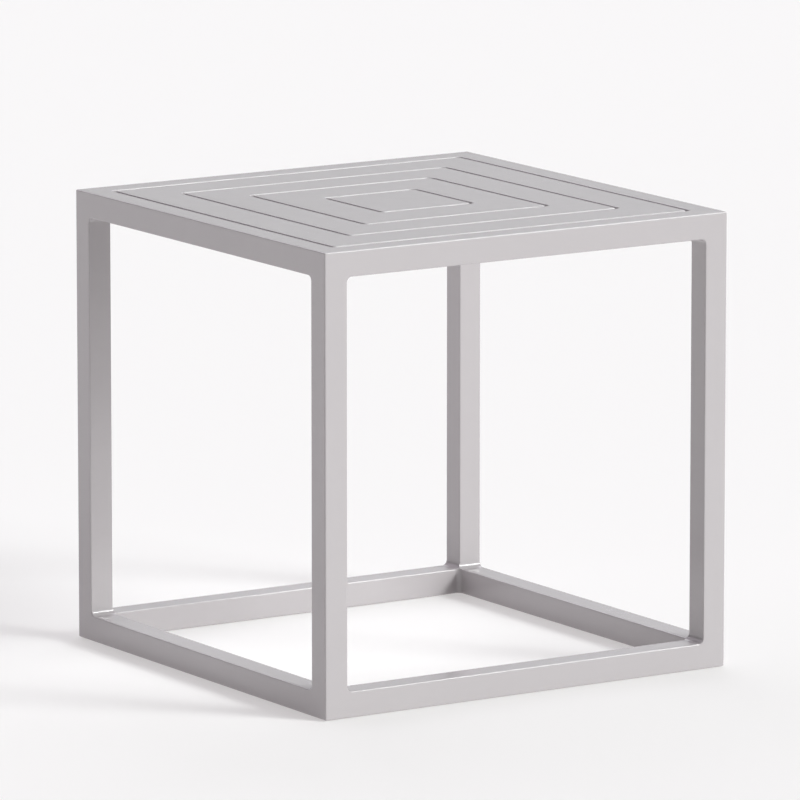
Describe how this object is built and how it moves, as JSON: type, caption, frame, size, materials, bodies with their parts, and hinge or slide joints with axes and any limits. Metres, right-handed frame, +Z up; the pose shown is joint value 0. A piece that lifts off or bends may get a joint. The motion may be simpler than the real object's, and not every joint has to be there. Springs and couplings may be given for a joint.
{
  "type": "square side table",
  "caption": "Low square side table: an open cube of square tube with a flush top of concentric mitred slats, for patio or lounge.",
  "frame": {"origin": "on the floor, under the middle of the table", "axes": "+Z up to the table top; X and Y along the square's sides, with the front face towards -Y"},
  "size_m": [0.46, 0.46, 0.45],
  "materials": {
    "powder_coat_frame": "light taupe grey powder coat, satin, fine orange peel",
    "powder_coat_top": "light taupe grey powder coat, satin, fine orange peel",
    "powder_coat_underside": "the same powder coat, thinner and duller on the underside",
    "glide_plastic": "moulded nylon, matt"
  },
  "bodies": {
    "root": {"top_rail_front": "powder_coat_frame", "top_rail_right": "powder_coat_frame", "top_rail_back": "powder_coat_frame", "top_rail_left": "powder_coat_frame", "base_rail_front": "powder_coat_frame", "base_rail_right": "powder_coat_frame", "base_rail_back": "powder_coat_frame", "base_rail_left": "powder_coat_frame", "leg_front_left": "powder_coat_frame", "leg_front_right": "powder_coat_frame", "leg_back_left": "powder_coat_frame", "leg_back_right": "powder_coat_frame", "top_corner_welds": "powder_coat_frame", "base_corner_welds": "powder_coat_frame", "slat_outer_front": "powder_coat_top", "slat_outer_right": "powder_coat_top", "slat_outer_back": "powder_coat_top", "slat_outer_left": "powder_coat_top", "slat_middle_front": "powder_coat_top", "slat_middle_right": "powder_coat_top", "slat_middle_back": "powder_coat_top", "slat_middle_left": "powder_coat_top", "slat_inner_front": "powder_coat_top", "slat_inner_right": "powder_coat_top", "slat_inner_back": "powder_coat_top", "slat_inner_left": "powder_coat_top", "slat_corner_welds": "powder_coat_top", "centre_panel": "powder_coat_top", "support_bar_long": "powder_coat_underside", "support_bar_half_a": "powder_coat_underside", "support_bar_half_b": "powder_coat_underside", "glide_front_left": "glide_plastic", "glide_front_right": "glide_plastic", "glide_back_left": "glide_plastic", "glide_back_right": "glide_plastic"}
  },
  "joints": []
}
